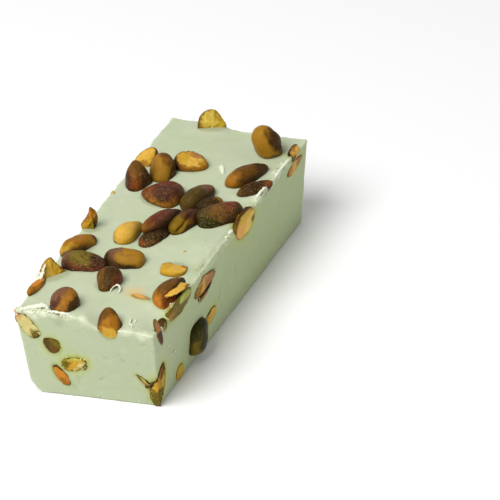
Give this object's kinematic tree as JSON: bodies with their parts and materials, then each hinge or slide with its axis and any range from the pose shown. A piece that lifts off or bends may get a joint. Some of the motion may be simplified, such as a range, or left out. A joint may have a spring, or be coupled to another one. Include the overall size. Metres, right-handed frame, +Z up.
{
  "type": "pistachio fudge slab",
  "caption": "Rectangular slab of pale green fudge, wider at its top than at its base, with whole and broken pistachio kernels pressed into its top and cut through at its sides.",
  "frame": {"origin": "centre of the bounding box's bottom face, on the surface the slab rests on", "axes": "+Z up from the flat base; +Y along the slab, from the near end to the far end; +X across it to the right"},
  "size_m": [0.0523, 0.125, 0.0423],
  "materials": {
    "fudge": "pale pistachio-green fudge, smooth and slightly waxy on top, dull where cut",
    "nut_brown": "roasted brown pistachio skin, wrinkled, slightly oily",
    "nut_ochre": "ochre-brown pistachio skin, slightly oily",
    "nut_gold": "golden roasted kernel flesh and skin",
    "nut_plum": "purplish red-brown pistachio skin, wrinkled",
    "nut_olive": "dark olive-brown pistachio skin",
    "nut_green": "dark green kernel, smooth and slightly oily",
    "nut_cream": "pale cream-green cut kernel flesh"
  },
  "bodies": {
    "root": {"fudge": "fudge", "nut_far_01": "nut_cream", "nut_far_02": "nut_brown", "nut_far_03": "nut_gold", "nut_far_04": "nut_ochre", "nut_left_01": "nut_cream", "nut_left_02": "nut_brown", "nut_left_03": "nut_gold", "nut_left_04": "nut_green", "nut_left_05": "nut_ochre", "nut_left_06": "nut_olive", "nut_near_01": "nut_cream", "nut_near_02": "nut_brown", "nut_near_03": "nut_ochre", "nut_near_04": "nut_gold", "nut_near_05": "nut_brown", "nut_right_01": "nut_gold", "nut_right_02": "nut_brown", "nut_right_03": "nut_brown", "nut_right_04": "nut_brown", "nut_right_05": "nut_brown", "nut_right_06": "nut_brown", "nut_right_07": "nut_green", "nut_right_08": "nut_gold", "nut_right_09": "nut_gold", "nut_right_10": "nut_olive", "nut_top_01": "nut_gold", "nut_top_02": "nut_ochre", "nut_top_03": "nut_gold", "nut_top_04": "nut_ochre", "nut_top_05": "nut_plum", "nut_top_06": "nut_gold", "nut_top_07": "nut_brown", "nut_top_08": "nut_brown", "nut_top_09": "nut_plum", "nut_top_10": "nut_olive", "nut_top_11": "nut_olive", "nut_top_12": "nut_brown", "nut_top_13": "nut_plum", "nut_top_14": "nut_olive", "nut_top_15": "nut_brown", "nut_top_16": "nut_gold", "nut_top_17": "nut_ochre", "nut_top_18": "nut_ochre", "nut_top_19": "nut_plum", "nut_top_20": "nut_ochre", "nut_top_21": "nut_brown", "nut_top_22": "nut_ochre", "nut_top_23": "nut_ochre", "nut_top_24": "nut_plum", "nut_top_25": "nut_brown", "nut_top_26": "nut_gold", "nut_top_27": "nut_green", "nut_top_28": "nut_brown", "nut_top_29": "nut_gold"}
  },
  "joints": []
}
